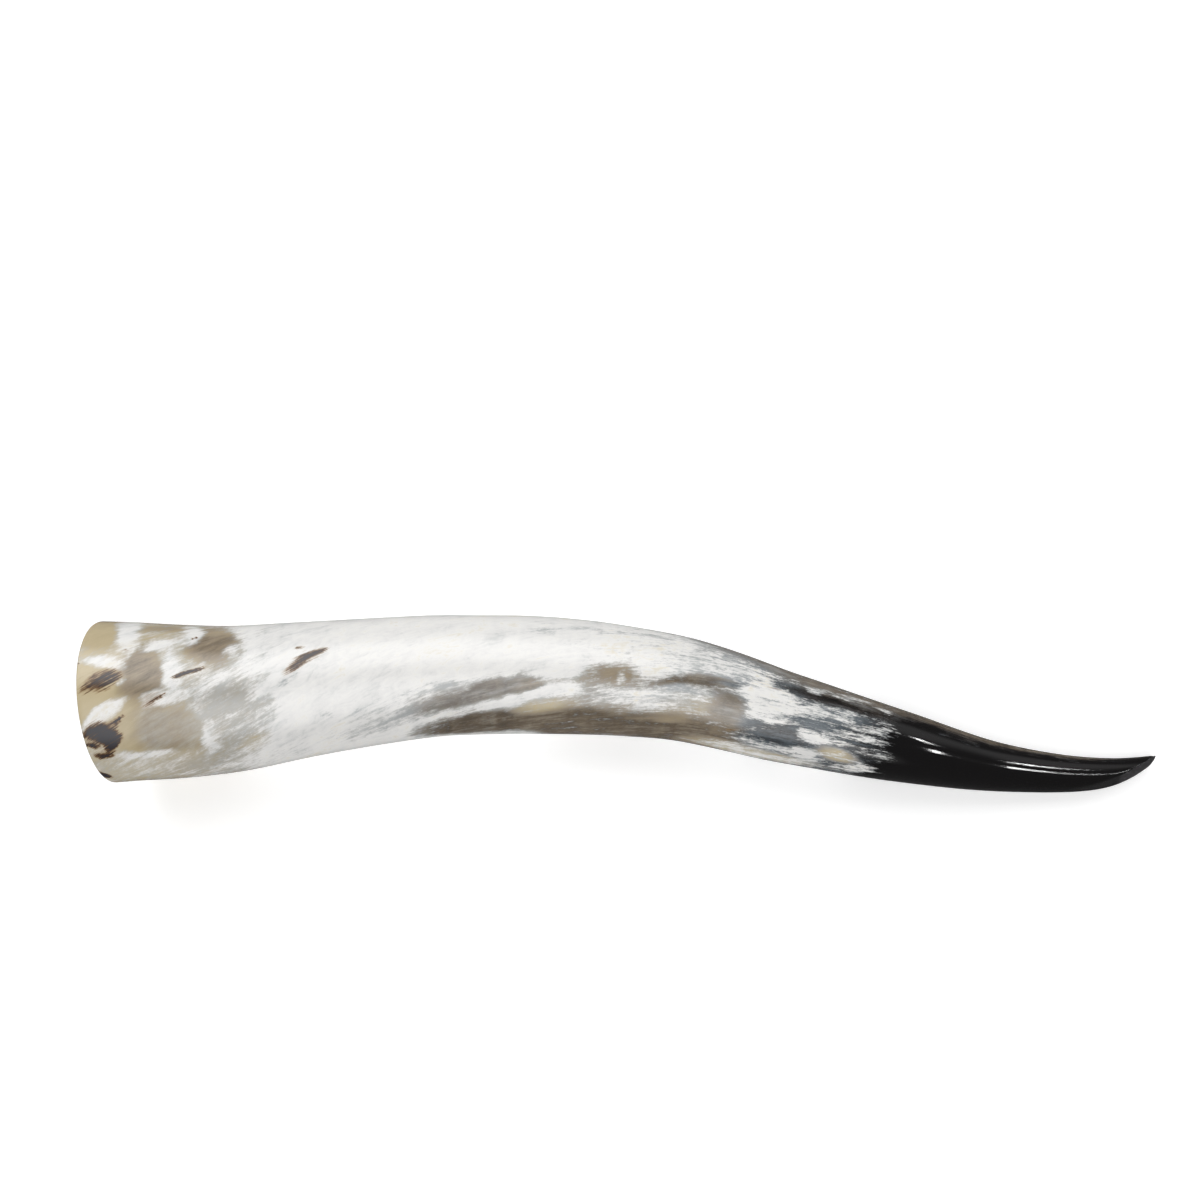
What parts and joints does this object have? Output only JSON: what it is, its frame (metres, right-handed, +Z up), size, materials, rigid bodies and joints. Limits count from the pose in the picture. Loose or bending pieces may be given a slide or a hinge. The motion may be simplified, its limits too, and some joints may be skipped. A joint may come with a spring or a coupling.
{
  "type": "cow horn",
  "caption": "Polished cow horn lying on its side: an S-bent tapering horn, hollow and open at its sawn mouth, solid towards a tip that is cut off aslant.",
  "frame": {"origin": "bottom centre of the bounding box, on the surface that the horn lies on", "axes": "+X from the sawn mouth towards the tip, +Z up, +Y towards the side that the horn first bends to"},
  "size_m": [0.6106, 0.1006, 0.087],
  "materials": {
    "polished_horn": "polished horn, cream and white with grey and brown grain, tan at the mouth and black at the tip"
  },
  "bodies": {
    "root": {"horn": "polished_horn"}
  },
  "joints": []
}
